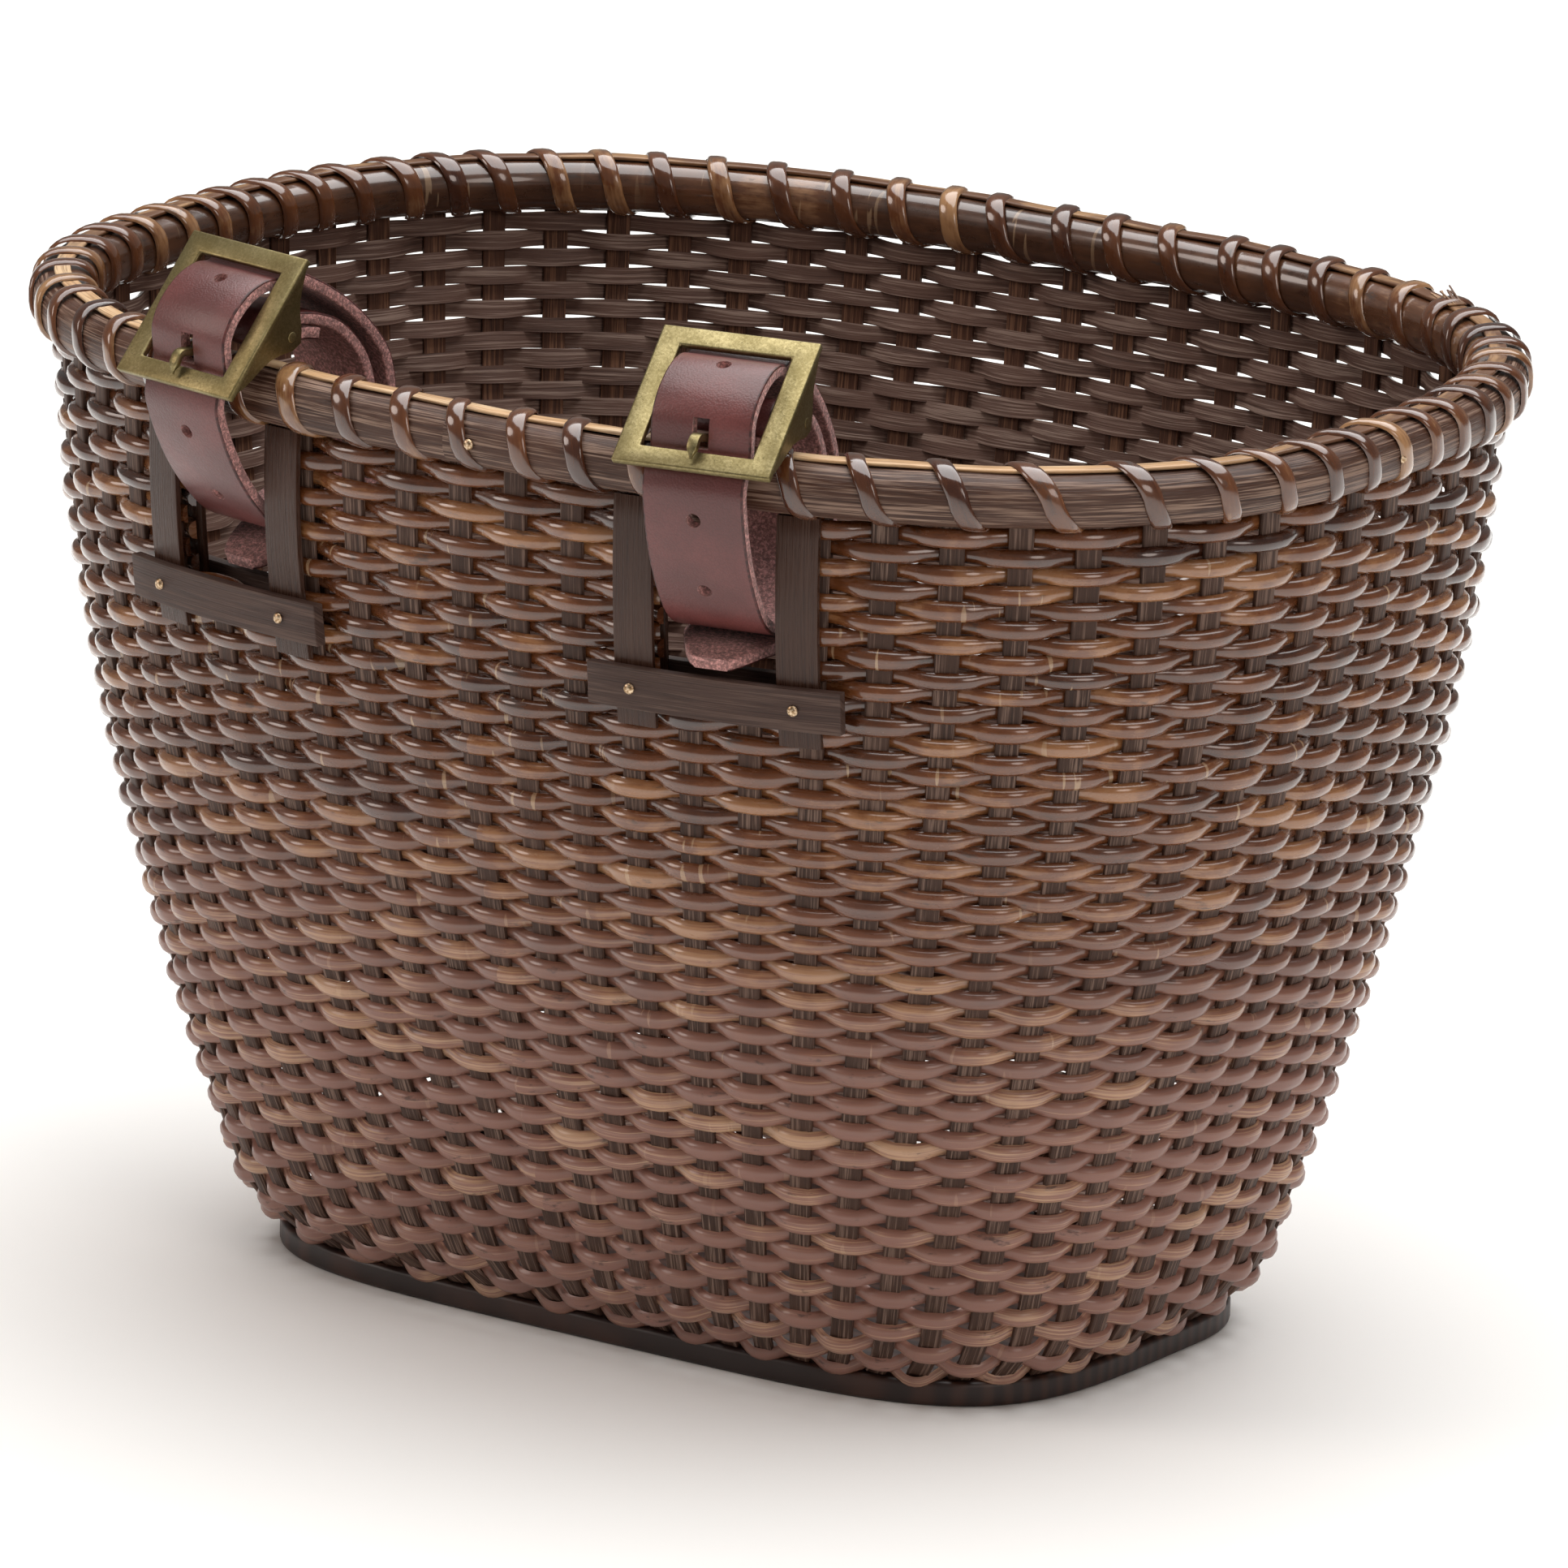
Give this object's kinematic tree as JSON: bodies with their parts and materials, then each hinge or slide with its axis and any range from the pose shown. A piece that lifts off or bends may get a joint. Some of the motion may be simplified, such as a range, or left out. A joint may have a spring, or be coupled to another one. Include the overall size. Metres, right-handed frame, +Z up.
{
  "type": "handlebar basket",
  "caption": "D-shaped woven cane basket with a solid wood base, a lashed rim, framed strap windows and buckled leather handlebar straps.",
  "frame": {"origin": "middle of the base board's underside, where the basket stands", "axes": "+X to the right along the basket's width, +Y away from the handlebar towards the front of the bicycle, +Z up; the straps are on the -Y side"},
  "size_m": [0.3774, 0.2947, 0.2775],
  "materials": {
    "base_wood": "dark stained board, satin",
    "cane_weave": "woven split cane on fibrous stakes, half gloss",
    "cane_dark": "dark fibrous cane, matt",
    "cane_gloss": "brown peeled cane skin, glossy",
    "cane_tan": "light tan cane skin, glossy",
    "strip_dark": "dark stained strip, satin",
    "leather_brown": "smooth brown grain outside, pale pink suede flesh side",
    "antique_brass": "antique brass, olive patina with bright worn edges",
    "nail_brass": "small round-headed nail, dulled"
  },
  "bodies": {
    "basket": {"base_board": "base_wood", "woven_wall": "cane_weave", "rim_outer_hoop": "cane_dark", "rim_inner_hoop": "cane_gloss", "rim_border_core": "cane_dark", "rim_cap_strip": "cane_tan", "rim_lashing": "cane_gloss", "rim_nail_1": "nail_brass", "rim_nail_2": "nail_brass", "rim_nail_3": "nail_brass", "rim_nail_4": "nail_brass", "left_window_outer_strip_left": "strip_dark", "left_window_outer_strip_right": "strip_dark", "left_window_outer_bar": "strip_dark", "left_window_inner_strip_left": "strip_dark", "left_window_inner_strip_right": "strip_dark", "left_window_inner_bar": "strip_dark", "left_window_nail_left": "nail_brass", "left_window_nail_right": "nail_brass", "right_window_outer_strip_left": "strip_dark", "right_window_outer_strip_right": "strip_dark", "right_window_outer_bar": "strip_dark", "right_window_inner_strip_left": "strip_dark", "right_window_inner_strip_right": "strip_dark", "right_window_inner_bar": "strip_dark", "right_window_nail_left": "nail_brass", "right_window_nail_right": "nail_brass"},
    "left_strap_loop": {"left_strap": "leather_brown", "left_buckle_frame": "antique_brass", "left_buckle_pin": "antique_brass"},
    "left_prong": {"left_buckle_prong": "antique_brass"},
    "right_strap_loop": {"right_strap": "leather_brown", "right_buckle_frame": "antique_brass", "right_buckle_pin": "antique_brass"},
    "right_prong": {"right_buckle_prong": "antique_brass"}
  },
  "joints": [
    {"name": "left_strap_swing", "type": "hinge", "parent": "basket", "child": "left_strap_loop", "pos_m": [-0.0725, -0.1155, 0.2445], "axis": [-0.982, 0.1889, 0], "range_deg": [-8, 8]},
    {"name": "left_prong_lift", "type": "hinge", "parent": "left_strap_loop", "child": "left_prong", "pos_m": [-0.07235, -0.11471, 0.2586], "axis": [-0.982, 0.1889, 0], "range_deg": [0, 10]},
    {"name": "right_strap_swing", "type": "hinge", "parent": "basket", "child": "right_strap_loop", "pos_m": [0.0725, -0.1155, 0.2445], "axis": [-0.982, -0.1889, 0], "range_deg": [-8, 8]},
    {"name": "right_prong_lift", "type": "hinge", "parent": "right_strap_loop", "child": "right_prong", "pos_m": [0.07193, -0.11256, 0.2583], "axis": [-0.982, -0.1889, 0], "range_deg": [0, 10]}
  ]
}
